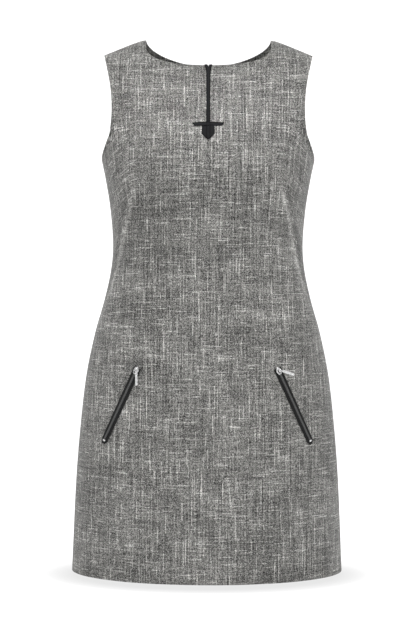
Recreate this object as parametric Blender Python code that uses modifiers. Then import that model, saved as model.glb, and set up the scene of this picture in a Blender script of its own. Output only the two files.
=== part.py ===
"""A sleeveless A-line dress, filled out as it is worn, with nothing inside it.

Frame: metres, +Z up, the front faces -Y and +X is the right of someone who faces it.
The origin lies midway between the two neck points, where the shoulders hold the dress.
A height is given as a drop below that origin.
"""

import math
from collections import namedtuple

import bmesh
import bpy
from mathutils import Matrix, Vector

# ---- driving dimensions -------------------------------------------------------------
CLOTH = 0.0016              # thickness of the tweed
SEAM_GAP = 0.0003           # between two pieces that meet at a seam
LENGTH = 0.880              # neck point to hem
NECK_HALF_WIDTH = 0.1035    # centre to neck point
FRONT_NECK_DROP = 0.0505
BACK_NECK_DROP = 0.0340
FRONT_NECK_ROUND = (2.2, 0.27)
BACK_NECK_ROUND = (1.8, 0.66)
SHOULDER_HALF_WIDTH = 0.1735
SHOULDER_SLOPE = 0.415      # fall of the shoulder seam for each metre outwards
SHOULDER_EASE = 0.004       # how softly that fall begins at the neck point
SHOULDER_CAP = 0.140        # height over which the cloth rolls over the shoulder
ARMHOLE_DROP = 0.200
DENSE_DROP = 0.370          # the rows lie closer above this level, over the darts

SLIT_LENGTH = 0.0955
SLIT_HALF_GAP = 0.0005
SLIT_FLARE = 0.0020         # extra half gap at the neck edge
SLIT_FLARE_LENGTH = 0.0030
SLIT_FLARE_CURVE = 1.5
BINDING_WIDTH = 0.0027
BINDING_GAP = 0.00015       # centre line to the inner edge of a binding
BINDING_FLARE = 0.0036      # extra width of a binding at the neck edge
BINDING_FLARE_LENGTH = 0.016
BINDING_FLARE_CURVE = 1.3
TRIM_THICKNESS = 0.0011
TRIM_LIFT = 0.0005          # between the cloth and what lies on it
CROSSBAR_DROP = 0.1489
CROSSBAR_HALF_LENGTH = 0.0255
CROSSBAR_HEIGHT = 0.0066
CROSSBAR_CUT = 0.0042       # length of the slanted cut at each end
CROSSBAR_ARCH = 0.0014
TAB_HALF_WIDTH = 0.0102
TAB_LENGTH = 0.0220
TAB_STRAIGHT = 0.58         # share of the tab that keeps its full width
TAB_CURVE = 1.15            # 1 for straight sides below that, more for bulging ones
TAB_POINT = 0.0009          # half width of its blunt point

ZIP_TOP = (0.1113, 0.5414)      # centre line: half width and drop
ZIP_BOTTOM = (0.1673, 0.6640)
TAPE_WIDTH = 0.0130
TAPE_THICKNESS = 0.0008
TAPE_POINT = 0.006          # length of the taper at the tape's lower end
TAPE_END = 0.45             # share of its width left at that end
COIL_WIDTH = 0.0040
COIL_THICKNESS = 0.0012
STOP_SIZE = (0.0026, 0.0046, 0.0015)    # along, across, thick
STOP_EDGE = 0.0004
SLIDER_LENGTH = 0.0125
SLIDER_WIDTH = 0.0086
SLIDER_THICKNESS = 0.0018
SLIDER_CHAMFER = 0.0005
SLIDER_INSET = 0.0050       # zip's upper end to the slider's centre
SLOT_SIZE = (0.0060, 0.0017, 0.0009)    # long, wide, deep
BAIL_RADIUS = 0.0022
BAIL_WIRE = 0.0005
BAIL_SINK = 0.0006
EYE_RADIUS = 0.00135
EYE_WIRE = 0.00038
PULL_LENGTH = 0.0262        # from the eye's centre to the tip
PULL_WIDTH = 0.0040
PULL_THICKNESS = 0.0011
PULL_NECK = 0.0015          # eye's centre to the start of the bar
PULL_NARROW = 0.4           # share of the width where the bar starts
PULL_BLUNT = 0.2            # share of the width left at the tip
PULL_EDGE = 0.0002
PULL_LEAN = 6.0             # degrees that a resting pull leans in to the cloth

# ---- the form that the cloth is cut for -------------------------------------------------
# drop, half width, depth of the front, depth of the back, roundness of the section
FORM_COLUMNS = ("drop", "half_width", "front", "back", "roundness")
FORM_ROWS = (
    (0.000, 0.3900, 0.082, 0.082, 2.20),
    (0.040, 0.3150, 0.085, 0.089, 2.20),
    (0.080, 0.2380, 0.093, 0.098, 2.20),
    (0.120, 0.1990, 0.104, 0.105, 2.20),
    (0.160, 0.1850, 0.118, 0.109, 2.28),
    (0.200, 0.1767, 0.131, 0.108, 2.36),
    (0.232, 0.1700, 0.136, 0.106, 2.40),
    (0.280, 0.1622, 0.128, 0.103, 2.34),
    (0.340, 0.1577, 0.114, 0.103, 2.20),
    (0.382, 0.1609, 0.112, 0.109, 2.14),
    (0.432, 0.1717, 0.115, 0.121, 2.08),
    (0.482, 0.1859, 0.120, 0.132, 2.05),
    (0.548, 0.2000, 0.126, 0.140, 2.02),
    (0.615, 0.2085, 0.133, 0.143, 2.00),
    (0.720, 0.2172, 0.142, 0.147, 2.00),
    (0.880, 0.2242, 0.156, 0.154, 2.00),
)

# The armhole edge, from the shoulder seam down to the side seam.
ARMHOLE_COLUMNS = ("drop", "half_width")
ARMHOLE_ROWS = (
    (0.0250, 0.1735),
    (0.0480, 0.1676),
    (0.0820, 0.1604),
    (0.1150, 0.1575),
    (0.1480, 0.1588),
    (0.1820, 0.1651),
    (0.1920, 0.1699),
    (0.2000, 0.1767),
)

# Soft folds of the front, raised (+) or sunk (-), each along one line and mirrored.
Fold = namedtuple("Fold", "from_x from_drop to_x to_drop height half_width")
BUST_DART = Fold(0.1100, 0.244, 0.1520, 0.352, +0.0016, 0.009)
BESIDE_DART = Fold(0.1290, 0.232, 0.1600, 0.318, -0.0018, 0.010)
BELOW_NECK = Fold(0.0930, 0.030, 0.0760, 0.090, -0.0016, 0.010)
FOLD_FADE = 0.18            # share of a fold's length over which it fades at each end

# How each zip pull hangs: along and across are from the slider's centre.
Pull = namedtuple("Pull", "side mirror along across heading_deg slot_along slot_across")
PULLS = (
    Pull("left", -1, -0.0026, +0.0008, 2.0, +0.0022, -0.0004),
    Pull("right", +1, 0.0000, +0.0020, 77.0, +0.0008, -0.0015),
)

# ---- how finely each piece is divided -------------------------------------------------------
WIDTH_CELLS = 15            # of a panel, from the centre to the side
SKIRT_CELLS = 16
BUST_CELLS = 11
YOKE_CELLS = 13
NECK_STEPS = 44
BINDING_CELLS = (2, 14)     # across, down
CROSSBAR_CELLS = (24, 2)
TAB_CELLS = (6, 10)
TAPE_CELLS = 20
COIL_CELLS = 14
PULL_CELLS = 14
BINDING_CROWD = 1.3         # above 1, cells are shorter near the neck edge
PULL_CROWD = 1.4            # above 1, cells are shorter near the tip
SLIDER_SIDES = 24
SLOT_SIDES = 16
BAIL_STEPS = 8
EYE_SEGMENTS = (18, 6)      # round the ring, round its wire
SLOPE_STEP = 0.0005         # over which the cloth's slope is measured
LOOK_AHEAD = 0.01           # share of a zip over which its direction is measured
MERGE = 0.0001
TOUCH = 1e-6

COLOURS = {
    "tweed": ((0.235, 0.233, 0.225), 0.92, 0.0),
    "trim": ((0.020, 0.020, 0.022), 0.48, 0.0),
    "tape": ((0.018, 0.018, 0.019), 0.88, 0.0),
    "coil": ((0.040, 0.040, 0.042), 0.55, 0.0),
    "metal": ((0.780, 0.780, 0.770), 0.22, 1.0),
}


# ---- curves through the tables -----------------------------------------------------------------
def slope_at(rows, index, column):
    """The slope of a smooth curve through one column, at a row."""
    before = rows[max(index - 1, 0)]
    after = rows[min(index + 1, len(rows) - 1)]
    return (after[column] - before[column]) / (after[0] - before[0])


def read_table(rows, drop, column):
    """A column's value at a drop, on a cubic curve through the rows."""
    if drop <= rows[0][0]:
        return rows[0][column]
    if drop >= rows[-1][0]:
        return rows[-1][column]
    index = max(i for i, row in enumerate(rows) if row[0] <= drop)
    low, high = rows[index], rows[index + 1]
    span = high[0] - low[0]
    t = (drop - low[0]) / span
    start = slope_at(rows, index, column) * span
    end = slope_at(rows, index + 1, column) * span
    return (
        low[column] * (1 + 2 * t) * (1 - t) ** 2
        + high[column] * (3 - 2 * t) * t**2
        + start * t * (1 - t) ** 2
        + end * (t - 1) * t**2
    )


def form(drop, name):
    return read_table(FORM_ROWS, drop, FORM_COLUMNS.index(name))


def armhole_half_width(drop):
    return read_table(ARMHOLE_ROWS, drop, ARMHOLE_COLUMNS.index("half_width"))


# ---- the surface of the worn cloth ------------------------------------------------------------
def shoulder_drop(x):
    """How far the shoulder seam lies below the neck point."""
    out = max(abs(x) - NECK_HALF_WIDTH, 0.0)
    return math.hypot(SHOULDER_SLOPE * out, SHOULDER_EASE) - SHOULDER_EASE


def neck_drop(share, side):
    """The neck edge at a share of its half width: a flat scoop, steep at the neck point."""
    depth, roundness = FRONT_NECK_DROP, FRONT_NECK_ROUND
    if side > 0:
        depth, roundness = BACK_NECK_DROP, BACK_NECK_ROUND
    return depth * (1.0 - abs(share) ** roundness[0]) ** roundness[1]


def fade(t):
    """0 at both ends of a fold and 1 along its middle."""
    edge = min(t, 1.0 - t) / FOLD_FADE
    edge = min(max(edge, 0.0), 1.0)
    return edge * edge * (3.0 - 2.0 * edge)


def fold_height(x, drop):
    """The sum of the soft folds at a point of the front."""
    total = 0.0
    for fold in (BUST_DART, BESIDE_DART, BELOW_NECK):
        run_x, run_drop = fold.to_x - fold.from_x, fold.to_drop - fold.from_drop
        length = math.hypot(run_x, run_drop)
        across, down = abs(x) - fold.from_x, drop - fold.from_drop
        along = (across * run_x + down * run_drop) / length
        off = (across * run_drop - down * run_x) / length
        total += fold.height * fade(along / length) * math.exp(-((off / fold.half_width) ** 2))
    return total


def cloth_y(x, drop, side):
    """The outer face of the cloth at (x, drop) on the front (-1) or the back (+1)."""
    half_width = form(drop, "half_width")
    depth = form(drop, "front" if side < 0 else "back")
    roundness = form(drop, "roundness")
    share = min(abs(x) / half_width, 1.0)
    section = (1.0 - share**roundness) ** (1.0 / roundness)
    below = min(max((drop - shoulder_drop(x)) / SHOULDER_CAP, 0.0), 1.0)
    cap = math.sqrt(1.0 - (1.0 - below) ** 2)
    out = depth * section * cap
    if side < 0:
        out += fold_height(x, drop) * section
    return side * out


def cloth_point(across, row):
    """A share of the half panel's width, and its row, to (x, drop) on the cloth.

    Rows run level up to the armhole. Above it they lean with the shoulder seam, and the
    last column follows the armhole edge. The neck is cut out afterwards.
    """
    bust_row = row - SKIRT_CELLS
    yoke_row = bust_row - BUST_CELLS
    if bust_row <= 0:
        drop = LENGTH + (DENSE_DROP - LENGTH) * row / SKIRT_CELLS
    else:
        drop = DENSE_DROP + (ARMHOLE_DROP - DENSE_DROP) * bust_row / BUST_CELLS
    if yoke_row <= 0:
        return form(drop, "half_width") * math.sin(across * math.pi / 2), drop
    rise = (1.0 - math.cos(math.pi * yoke_row / YOKE_CELLS)) / 2
    edge_drop = ARMHOLE_DROP + (shoulder_drop(SHOULDER_HALF_WIDTH) - ARMHOLE_DROP) * rise
    edge = armhole_half_width(edge_drop)
    edge_angle = math.asin(min(edge / form(edge_drop, "half_width"), 1.0))
    spread = math.sin(across * edge_angle) / math.sin(edge_angle)
    top = shoulder_drop(SHOULDER_HALF_WIDTH * spread)
    return edge * spread, ARMHOLE_DROP + (top - ARMHOLE_DROP) * rise


def slit_half_gap(below_edge):
    """Half the opening of the slit, at a distance below the neck edge."""
    if below_edge > SLIT_LENGTH:
        return 0.0
    spread = min(max(1.0 - below_edge / SLIT_FLARE_LENGTH, 0.0), 1.0)
    return SLIT_HALF_GAP + SLIT_FLARE * spread**SLIT_FLARE_CURVE


def binding_edge(below_edge):
    """Centre line to the outer edge of a binding, at a distance below the neck edge."""
    spread = min(max(1.0 - below_edge / BINDING_FLARE_LENGTH, 0.0), 1.0)
    return BINDING_GAP + BINDING_WIDTH + BINDING_FLARE * spread**BINDING_FLARE_CURVE


def front_frame(x, drop):
    """A point on the front's outer face and the outward normal there."""
    here = cloth_y(x, drop, -1)
    rise_x = cloth_y(x + SLOPE_STEP, drop, -1) - cloth_y(x - SLOPE_STEP, drop, -1)
    rise_z = cloth_y(x, drop - SLOPE_STEP, -1) - cloth_y(x, drop + SLOPE_STEP, -1)
    normal = Vector((rise_x, -2 * SLOPE_STEP, rise_z)).normalized()
    return Vector((x, here, -drop)), normal


# ---- building ---------------------------------------------------------------------------------------
def clear_scene():
    for obj in list(bpy.data.objects):
        bpy.data.objects.remove(obj, do_unlink=True)


def collection(name):
    made = bpy.data.collections.new(name)
    bpy.context.scene.collection.children.link(made)
    return made


def material(name):
    colour, roughness, metallic = COLOURS[name]
    made = bpy.data.materials.new(name)
    made.use_nodes = True
    shader = made.node_tree.nodes["Principled BSDF"]
    shader.inputs["Base Color"].default_value = (*colour, 1.0)
    shader.inputs["Roughness"].default_value = roughness
    shader.inputs["Metallic"].default_value = metallic
    made.diffuse_color = (*colour, 1.0)
    return made


def add_object(name, bm, finish, group, matrix=None):
    mesh = bpy.data.meshes.new(name)
    bm.to_mesh(mesh)
    bm.free()
    if finish:
        mesh.materials.append(finish)
    obj = bpy.data.objects.new(name, mesh)
    group.objects.link(obj)
    if matrix is not None:
        obj.matrix_world = matrix
    return obj


def solidify(obj, thickness, offset):
    wall = obj.modifiers.new("wall", "SOLIDIFY")
    wall.thickness = thickness
    wall.offset = offset


def boolean(obj, other, operation):
    step = obj.modifiers.new(operation.lower(), "BOOLEAN")
    step.operation = operation
    step.solver = "EXACT"
    step.object = other
    other.hide_render = True
    other.display_type = "WIRE"


def turn_faces(bm, outward):
    """Turns an open sheet over if its faces look the wrong way."""
    bm.normal_update()
    looking = sum((face.normal * face.calc_area() for face in bm.faces), Vector())
    if looking.dot(outward) < 0:
        bmesh.ops.reverse_faces(bm, faces=bm.faces)


def grid_sheet(columns, rows, place):
    """A grid of cells, each corner put where place(column, row) says."""
    bm = bmesh.new()
    bmesh.ops.create_grid(bm, x_segments=columns, y_segments=rows, size=0.5)
    for vert in bm.verts:
        column = round((vert.co.x + 0.5) * columns)
        row = round((vert.co.y + 0.5) * rows)
        vert.co = place(column, row)
    return bm


# ---- the two panels ---------------------------------------------------------------------------------
def seam_cutter(side, group):
    """Everything past a panel's seams, less half the gap that the seams keep."""
    bm = bmesh.new()
    bmesh.ops.create_cube(bm, size=1.0)
    bmesh.ops.scale(bm, vec=(4 * SHOULDER_HALF_WIDTH, LENGTH, 2 * LENGTH), verts=bm.verts)
    middle = -side * (LENGTH - SEAM_GAP) / 2
    bmesh.ops.translate(bm, vec=(0.0, middle, -LENGTH / 2), verts=bm.verts)
    return add_object("seam_cutter_front" if side < 0 else "seam_cutter_back", bm, None, group)


def neck_cutter(side, group):
    """The neck's outline seen from the front, as a prism through one panel."""
    bm = bmesh.new()
    outline = []
    for i in range(NECK_STEPS + 1):
        share = math.sin(math.pi * (i / NECK_STEPS - 0.5))
        outline.append((NECK_HALF_WIDTH * share, -neck_drop(share, side)))
    outline += [(NECK_HALF_WIDTH, NECK_HALF_WIDTH), (-NECK_HALF_WIDTH, NECK_HALF_WIDTH)]
    start = -side * NECK_HALF_WIDTH / 2
    verts = [bm.verts.new((x, start, z)) for x, z in outline]
    face = bm.faces.new(verts)
    deep = bmesh.ops.extrude_face_region(bm, geom=[face])["geom"]
    moved = [item for item in deep if isinstance(item, bmesh.types.BMVert)]
    bmesh.ops.translate(bm, vec=(0.0, side * 3 * NECK_HALF_WIDTH, 0.0), verts=moved)
    bmesh.ops.recalc_face_normals(bm, faces=bm.faces)
    return add_object("neck_cutter_front" if side < 0 else "neck_cutter_back", bm, None, group)


def make_panel(name, side, finish, group, cutters):
    """Half a panel from its rows and columns, mirrored and given its thickness inwards."""
    rows = SKIRT_CELLS + BUST_CELLS + YOKE_CELLS

    def place(column, row):
        x, drop = cloth_point(column / WIDTH_CELLS, row)
        if column == 0 and side < 0:
            x = slit_half_gap(drop - FRONT_NECK_DROP)
        return Vector((x, cloth_y(x, drop, side), -drop))

    bm = grid_sheet(WIDTH_CELLS, rows, place)
    turn_faces(bm, Vector((0.0, side, 0.0)))
    obj = add_object(name, bm, finish, group)
    mirror = obj.modifiers.new("other half", "MIRROR")
    mirror.use_axis = (True, False, False)
    mirror.use_mirror_merge = True
    mirror.merge_threshold = MERGE
    solidify(obj, CLOTH, -1.0)
    boolean(obj, seam_cutter(side, cutters), "DIFFERENCE")
    boolean(obj, neck_cutter(side, cutters), "DIFFERENCE")
    obj.data.shade_smooth()
    return obj


# ---- the faux-leather trim at the neck slit ------------------------------------------------------------
def make_flat_trim(name, cells, place_flat, finish, group):
    """A cut piece that lies on the front: its outline in (x, drop), laid on the cloth."""
    columns, rows = cells

    def place(column, row):
        x, drop = place_flat(column / columns, row / rows)
        point, normal = front_frame(x, drop)
        return point + normal * TRIM_LIFT

    bm = grid_sheet(columns, rows, place)
    turn_faces(bm, Vector((0.0, -1.0, 0.0)))
    obj = add_object(name, bm, finish, group)
    solidify(obj, TRIM_THICKNESS, 1.0)
    return obj


def make_slit_trim(finish, group):
    """Two bindings along the slit, the crossbar at its end and the pointed tab."""
    binding_end = CROSSBAR_DROP - SEAM_GAP

    def binding(mirror):
        def place(across, down):
            below_edge = (binding_end - FRONT_NECK_DROP) * down**BINDING_CROWD
            spare = max(slit_half_gap(below_edge) - SLIT_HALF_GAP, 0.0)
            inner, outer = BINDING_GAP + spare, binding_edge(below_edge)
            return mirror * (inner + (outer - inner) * across), FRONT_NECK_DROP + below_edge

        return place

    def crossbar(across, down):
        x = CROSSBAR_HALF_LENGTH * (2.0 * across - 1.0)
        upper = CROSSBAR_ARCH * (x / CROSSBAR_HALF_LENGTH) ** 2
        cut = max(abs(x) - CROSSBAR_HALF_LENGTH + CROSSBAR_CUT, 0.0) / CROSSBAR_CUT
        lower = CROSSBAR_HEIGHT - (CROSSBAR_HEIGHT - CROSSBAR_ARCH - TAB_POINT) * cut
        return x, CROSSBAR_DROP + upper + (lower - upper) * down

    def tab(across, down):
        taper = max(down - TAB_STRAIGHT, 0.0) / (1.0 - TAB_STRAIGHT)
        half = TAB_HALF_WIDTH - (TAB_HALF_WIDTH - TAB_POINT) * taper**TAB_CURVE
        top = CROSSBAR_DROP + CROSSBAR_HEIGHT + SEAM_GAP
        return half * (2.0 * across - 1.0), top + TAB_LENGTH * down

    return [
        make_flat_trim("slit_binding_left", BINDING_CELLS, binding(-1), finish, group),
        make_flat_trim("slit_binding_right", BINDING_CELLS, binding(+1), finish, group),
        make_flat_trim("slit_crossbar", CROSSBAR_CELLS, crossbar, finish, group),
        make_flat_trim("slit_tab", TAB_CELLS, tab, finish, group),
    ]


# ---- the pocket zips ------------------------------------------------------------------------------------
def zip_frame(mirror, along):
    """Centre line of a pocket zip: point, down the zip, across it to +X, and out."""
    top = Vector((mirror * ZIP_TOP[0], ZIP_TOP[1]))
    bottom = Vector((mirror * ZIP_BOTTOM[0], ZIP_BOTTOM[1]))
    share = along / zip_length(mirror)
    point, normal = front_frame(*top.lerp(bottom, share))
    ahead, _ = front_frame(*top.lerp(bottom, share + LOOK_AHEAD))
    down = ahead - point
    down = (down - normal * down.dot(normal)).normalized()
    return point, down, normal.cross(down), normal


def zip_length(mirror):
    top, _ = front_frame(mirror * ZIP_TOP[0], ZIP_TOP[1])
    bottom, _ = front_frame(mirror * ZIP_BOTTOM[0], ZIP_BOTTOM[1])
    return (bottom - top).length


def on_tape(mirror, along):
    """A frame on the tape's face: x down the zip, y across it and z out."""
    point, down, across, normal = zip_frame(mirror, along)
    origin = point + normal * (TRIM_LIFT + TAPE_THICKNESS + SEAM_GAP)
    axes = Matrix((down, across, normal)).transposed()
    return Matrix.Translation(origin) @ axes.to_4x4()


def make_zip_strip(name, mirror, start, end, width, lift, thickness, cells, finish, group):
    """A strip that runs along a zip's centre line, as wide as width(distance to its end)."""

    def place(column, row):
        along = start + (end - start) * row / cells
        point, _, across, normal = zip_frame(mirror, along)
        return point + across * width(end - along) * (column / 2 - 0.5) + normal * lift

    bm = grid_sheet(2, cells, place)
    turn_faces(bm, Vector((0.0, -1.0, 0.0)))
    obj = add_object(name, bm, finish, group)
    solidify(obj, thickness, 1.0)
    return obj


def tape_width(to_end):
    return TAPE_WIDTH * min(TAPE_END + (1.0 - TAPE_END) * to_end / TAPE_POINT, 1.0)


def coil_width(to_end):
    return COIL_WIDTH


def oval_prism(length, width, low, high, sides, chamfer):
    bm = bmesh.new()
    bmesh.ops.create_cone(
        bm, cap_ends=True, segments=sides, radius1=0.5, radius2=0.5, depth=1.0
    )
    bmesh.ops.scale(bm, vec=(length, width, high - low), verts=bm.verts)
    bmesh.ops.translate(bm, vec=(0.0, 0.0, (low + high) / 2), verts=bm.verts)
    if chamfer:
        rim = [edge for edge in bm.edges if all(abs(v.co.z - high) < TOUCH for v in edge.verts)]
        bmesh.ops.bevel(
            bm, geom=rim, offset=chamfer, segments=2, profile=0.5, affect="EDGES", material=-1
        )
    return bm


def wire_object(name, points, radius, finish, group, matrix):
    """A round wire along the points, as a closed mesh."""
    data = bpy.data.curves.new(name + "_wire", "CURVE")
    data.dimensions = "3D"
    data.bevel_depth = radius
    data.bevel_resolution = 2
    data.use_fill_caps = True
    spline = data.splines.new("POLY")
    spline.points.add(len(points) - 1)
    for target, point in zip(spline.points, points):
        target.co = (*point, 1.0)
    curve = bpy.data.objects.new(name + "_curve", data)
    group.objects.link(curve)
    bpy.context.view_layer.update()
    graph = bpy.context.evaluated_depsgraph_get()
    mesh = bpy.data.meshes.new_from_object(curve.evaluated_get(graph))
    bpy.data.objects.remove(curve)
    bm = bmesh.new()
    bm.from_mesh(mesh)
    bpy.data.meshes.remove(mesh)
    bmesh.ops.remove_doubles(bm, verts=bm.verts, dist=TOUCH)
    return add_object(name, bm, finish, group, matrix)


def hinge_frame(pull):
    """The eye's centre on the bail's crown: x along the pull, y the hinge, z out.

    A heading of 0 hangs straight down in the tape's plane, and 90 points to +X.
    """
    frame = on_tape(pull.mirror, SLIDER_INSET)
    origin = frame @ Vector((pull.along, pull.across, SLIDER_THICKNESS + BAIL_RADIUS))
    normal = frame.col[2].to_3d()
    turn = math.radians(pull.heading_deg)
    flat = Vector((math.sin(turn), 0.0, -math.cos(turn)))
    reach = (flat - normal * flat.dot(normal)).normalized()
    axes = Matrix((reach, normal.cross(reach), normal)).transposed()
    return Matrix.Translation(origin) @ axes.to_4x4()


def make_slider(pull, finish, group, cutters):
    """The oval slider with its slot, and the bail that stands on it along the hinge."""
    frame = on_tape(pull.mirror, SLIDER_INSET)
    bm = oval_prism(
        SLIDER_LENGTH, SLIDER_WIDTH, 0.0, SLIDER_THICKNESS, SLIDER_SIDES, SLIDER_CHAMFER
    )
    slider = add_object(f"zip_slider_{pull.side}", bm, finish, group, frame)

    sink = -BAIL_RADIUS - BAIL_SINK
    points = [Vector((0.0, -BAIL_RADIUS, sink))]
    for i in range(BAIL_STEPS + 1):
        angle = math.pi * i / BAIL_STEPS
        points.append(
            Vector((0.0, -BAIL_RADIUS * math.cos(angle), BAIL_RADIUS * (math.sin(angle) - 1.0)))
        )
    points.append(Vector((0.0, BAIL_RADIUS, sink)))
    bail = wire_object(
        f"bail_{pull.side}", points, BAIL_WIRE, finish, cutters, hinge_frame(pull)
    )
    boolean(slider, bail, "UNION")

    long, wide, deep = SLOT_SIZE
    slot = oval_prism(
        long, wide, SLIDER_THICKNESS - deep, SLIDER_THICKNESS + deep, SLOT_SIDES, 0.0
    )
    bmesh.ops.translate(slot, vec=(pull.slot_along, pull.slot_across, 0.0), verts=slot.verts)
    cutter = add_object(f"slot_{pull.side}", slot, finish, cutters, frame)
    boolean(slider, cutter, "DIFFERENCE")
    return slider


def pull_half_width(reach):
    """Half width of the pull's bar at a distance from the eye's centre."""
    grow = min((reach - PULL_NECK) / PULL_WIDTH, 1.0)
    tip = max(reach - PULL_LENGTH + PULL_WIDTH / 2, 0.0) / (PULL_WIDTH / 2)
    full = PULL_NARROW + (1.0 - PULL_NARROW) * math.sin(grow * math.pi / 2)
    return PULL_WIDTH / 2 * full * max(math.sqrt(1.0 - min(tip, 1.0) ** 2), PULL_BLUNT)


def make_pull(pull, finish, group, cutters):
    """A flat bar with an eye at its upper end, with its origin on the hinge."""
    frame = hinge_frame(pull) @ Matrix.Rotation(math.radians(PULL_LEAN), 4, "Y")

    def place(column, row):
        share = 1.0 - (1.0 - row / PULL_CELLS) ** PULL_CROWD
        reach = PULL_NECK + (PULL_LENGTH - PULL_NECK) * share
        return Vector((reach, pull_half_width(reach) * (column - 1), -PULL_THICKNESS / 2))

    bm = grid_sheet(2, PULL_CELLS, place)
    turn_faces(bm, Vector((0.0, 0.0, 1.0)))
    bar = add_object(f"zip_pull_{pull.side}", bm, finish, group, frame)
    solidify(bar, PULL_THICKNESS, 1.0)
    bevel = bar.modifiers.new("rounded edges", "BEVEL")
    bevel.width = PULL_EDGE
    bevel.segments = 1
    bevel.limit_method = "ANGLE"

    bpy.ops.mesh.primitive_torus_add(
        major_segments=EYE_SEGMENTS[0], minor_segments=EYE_SEGMENTS[1],
        major_radius=EYE_RADIUS, minor_radius=EYE_WIRE,
    )
    eye = bpy.context.object
    eye.name = f"eye_{pull.side}"
    eye.data.transform(Matrix.Rotation(math.pi / 2, 4, "X"))
    for linked in list(eye.users_collection):
        linked.objects.unlink(eye)
    cutters.objects.link(eye)
    eye.matrix_world = frame
    boolean(bar, eye, "UNION")
    return bar


def make_stop(side, mirror, finish, group):
    """The small clamp at the lower end of the coil."""
    along, across, thick = STOP_SIZE
    bm = bmesh.new()
    bmesh.ops.create_cube(bm, size=1.0)
    bmesh.ops.scale(bm, vec=(along, across, thick), verts=bm.verts)
    bmesh.ops.translate(bm, vec=(0.0, 0.0, thick / 2), verts=bm.verts)
    frame = on_tape(mirror, zip_length(mirror) - TAPE_POINT)
    stop = add_object(f"zip_stop_{side}", bm, finish, group, frame)
    bevel = stop.modifiers.new("rounded edges", "BEVEL")
    bevel.width = STOP_EDGE
    bevel.segments = 2
    return stop


def make_zip(pull, finishes, group, cutters):
    """Tape, coil, bottom stop, slider and pull of one pocket zip."""
    side, mirror = pull.side, pull.mirror
    length = zip_length(mirror)
    coil_start = SLIDER_INSET + SLIDER_LENGTH / 2 + SEAM_GAP
    coil_end = length - TAPE_POINT - STOP_SIZE[0] / 2 - SEAM_GAP
    coil_lift = TRIM_LIFT + TAPE_THICKNESS + SEAM_GAP
    return [
        make_zip_strip(
            f"zip_tape_{side}", mirror, 0.0, length, tape_width,
            TRIM_LIFT, TAPE_THICKNESS, TAPE_CELLS, finishes["tape"], group,
        ),
        make_zip_strip(
            f"zip_coil_{side}", mirror, coil_start, coil_end, coil_width,
            coil_lift, COIL_THICKNESS, COIL_CELLS, finishes["coil"], group,
        ),
        make_stop(side, mirror, finishes["metal"], group),
        make_slider(pull, finishes["metal"], group, cutters),
        make_pull(pull, finishes["metal"], group, cutters),
    ]


def main():
    clear_scene()
    dress = collection("a_line_dress")
    cutters = collection("cutters")
    finishes = {name: material(name) for name in COLOURS}
    made = [
        make_panel("front_panel", -1, finishes["tweed"], dress, cutters),
        make_panel("back_panel", +1, finishes["tweed"], dress, cutters),
    ]
    made += make_slit_trim(finishes["trim"], dress)
    for pull in PULLS:
        made += make_zip(pull, finishes, dress, cutters)

    bpy.context.view_layer.update()
    held = bpy.data.objects.new("held_at_shoulders", None)
    dress.objects.link(held)
    for obj in made:
        obj.parent = held


main()
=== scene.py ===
# %% [markdown]
# # A sleeveless A-line dress in grey tweed
#
# The dress is filled out as it is worn, with nothing inside it. A CAD model of it is already
# packed, and each of its solids gives way here to a finer piece in the same place.
#
# All sizes are metres. The front faces -Y, +Z is up, and the origin lies midway between the
# two points where the neck edge meets the shoulder seams. "Left" is -X, as the camera sees it.

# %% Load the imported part
import math
from collections import namedtuple

import bmesh
import bpy
import numpy as np
from mathutils import Matrix, Vector


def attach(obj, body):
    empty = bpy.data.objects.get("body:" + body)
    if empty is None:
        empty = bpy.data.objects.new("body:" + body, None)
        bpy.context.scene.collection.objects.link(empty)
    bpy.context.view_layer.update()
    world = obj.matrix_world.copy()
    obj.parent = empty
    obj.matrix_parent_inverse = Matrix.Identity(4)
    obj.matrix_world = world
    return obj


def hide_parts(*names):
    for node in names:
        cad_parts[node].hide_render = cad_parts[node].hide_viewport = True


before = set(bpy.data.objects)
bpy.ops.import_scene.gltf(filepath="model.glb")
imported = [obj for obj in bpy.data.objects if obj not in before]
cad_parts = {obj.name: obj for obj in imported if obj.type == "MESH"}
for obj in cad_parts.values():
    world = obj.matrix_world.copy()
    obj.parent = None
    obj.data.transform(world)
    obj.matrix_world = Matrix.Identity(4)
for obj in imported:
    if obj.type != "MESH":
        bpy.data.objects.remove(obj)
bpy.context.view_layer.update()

# %% [markdown]
# ## The camera
#
# Every later step is judged through the camera. The photograph looks at the dress level, from
# straight in front. A long lens keeps the perspective weak: only the hem's curve shows that
# the cloth comes forward. One of the image's 624 rows is 1.667 mm at the dress.

# %% Place the camera
DISTANCE, LENS_MM, SENSOR_MM = 2.6, 90.0, 36.0
EYE = (0.0006, -DISTANCE, -0.4517)
ROLL = math.radians(0.18)  # the photograph leans by this much

camera_data = bpy.data.cameras.new("camera")
camera_data.lens = LENS_MM
camera_data.sensor_fit = "VERTICAL"
camera_data.sensor_height = SENSOR_MM
camera = bpy.data.objects.new("camera", camera_data)
camera.matrix_world = (
    Matrix.Translation(EYE) @ Matrix.Rotation(math.pi / 2, 4, "X") @ Matrix.Rotation(ROLL, 4, "Z")
)
bpy.context.scene.collection.objects.link(camera)
bpy.context.scene.camera = camera
print("one row at the dress:", round(DISTANCE * SENSOR_MM / LENS_MM / 624 * 1000, 3), "mm")

# %% [markdown]
# ## The form under the cloth
#
# Every level section of the worn dress is close to a squarish ellipse. So the form is a short
# table: at each drop below the neck point it gives the half width, how far front and back stand
# out, and how square the section is. A smooth curve runs through each column. The CAD model was
# made from the same table, so what is made here lies exactly where its solids lie.

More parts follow.
